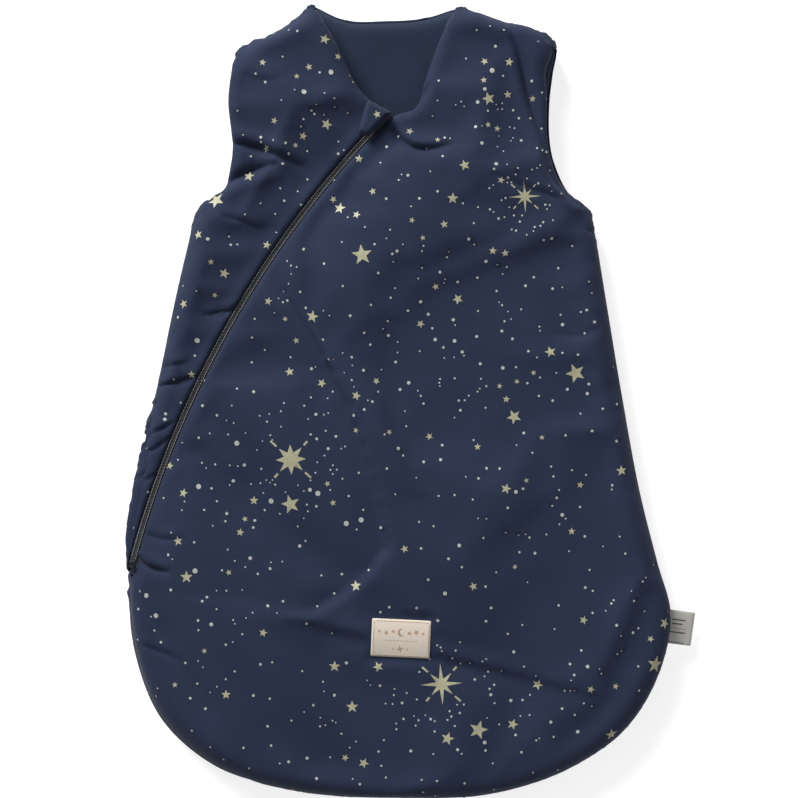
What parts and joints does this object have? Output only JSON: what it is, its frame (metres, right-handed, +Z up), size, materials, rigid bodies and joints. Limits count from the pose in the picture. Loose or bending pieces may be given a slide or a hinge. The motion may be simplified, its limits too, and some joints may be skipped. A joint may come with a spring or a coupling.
{
  "type": "baby sleeping bag",
  "caption": "Padded sleeveless baby sleeping bag with a diagonal side zip, lying flat, front up, with its zip closed.",
  "frame": {"origin": "middle of the underside of the padded bag, on the surface it lies on", "axes": "+Y along the bag towards the neck, +X across it to the right when looking at its front, +Z up out of the front"},
  "size_m": [0.4719, 0.6611, 0.0434],
  "materials": {
    "shell_print": "plain-weave cotton with a metallic star print",
    "lining": "plain jersey",
    "wadding": "bonded polyester wadding",
    "piping": "rolled seam",
    "zip_tape": "woven tape",
    "zip_coil": "nylon coil",
    "zip_metal": "lacquered zinc",
    "label": "woven cotton with foil print",
    "thread": "sewing thread",
    "tag": "satin ribbon"
  },
  "bodies": {
    "bag": {"front_main_panel": "shell_print", "front_side_panel": "shell_print", "back_panel": "shell_print", "front_main_wadding": "wadding", "front_side_wadding": "wadding", "back_wadding": "wadding", "front_main_lining": "lining", "front_side_lining": "lining", "back_lining": "lining", "foot_piping": "piping", "zip_tape_left": "zip_tape", "zip_tape_right": "zip_tape", "zip_coil_left": "zip_coil", "zip_coil_right": "zip_coil", "zip_top_stops": "zip_metal", "zip_bottom_stop": "zip_metal", "zip_underlap": "lining", "front_label": "label", "label_stitching": "thread", "side_tag": "tag"},
    "slider": {"zip_slider": "zip_metal"},
    "pull_tab": {"zip_pull_tab": "zip_metal"},
    "garage": {"zip_garage": "shell_print"}
  },
  "joints": [
    {"name": "slider_travel", "type": "hinge", "parent": "bag", "child": "slider", "pos_m": [0.582, -0.348, 0.0286], "axis": [0, 0, 1], "range_deg": [0, 29.2]},
    {"name": "garage_lift", "type": "hinge", "parent": "bag", "child": "garage", "pos_m": [-0.00779, 0.23599, 0.0419], "axis": [-0.7106, 0.7036, 0], "range_deg": [0, 95]},
    {"name": "pull_tab_swing", "type": "hinge", "parent": "slider", "child": "pull_tab", "pos_m": [-0.0113, 0.23242, 0.033], "axis": [-0.7157, 0.6984, 0], "range_deg": [0, 95]}
  ],
  "couplings": [
    {"joint": "pull_tab_swing", "follows": "garage_lift", "ratio": 1}
  ]
}
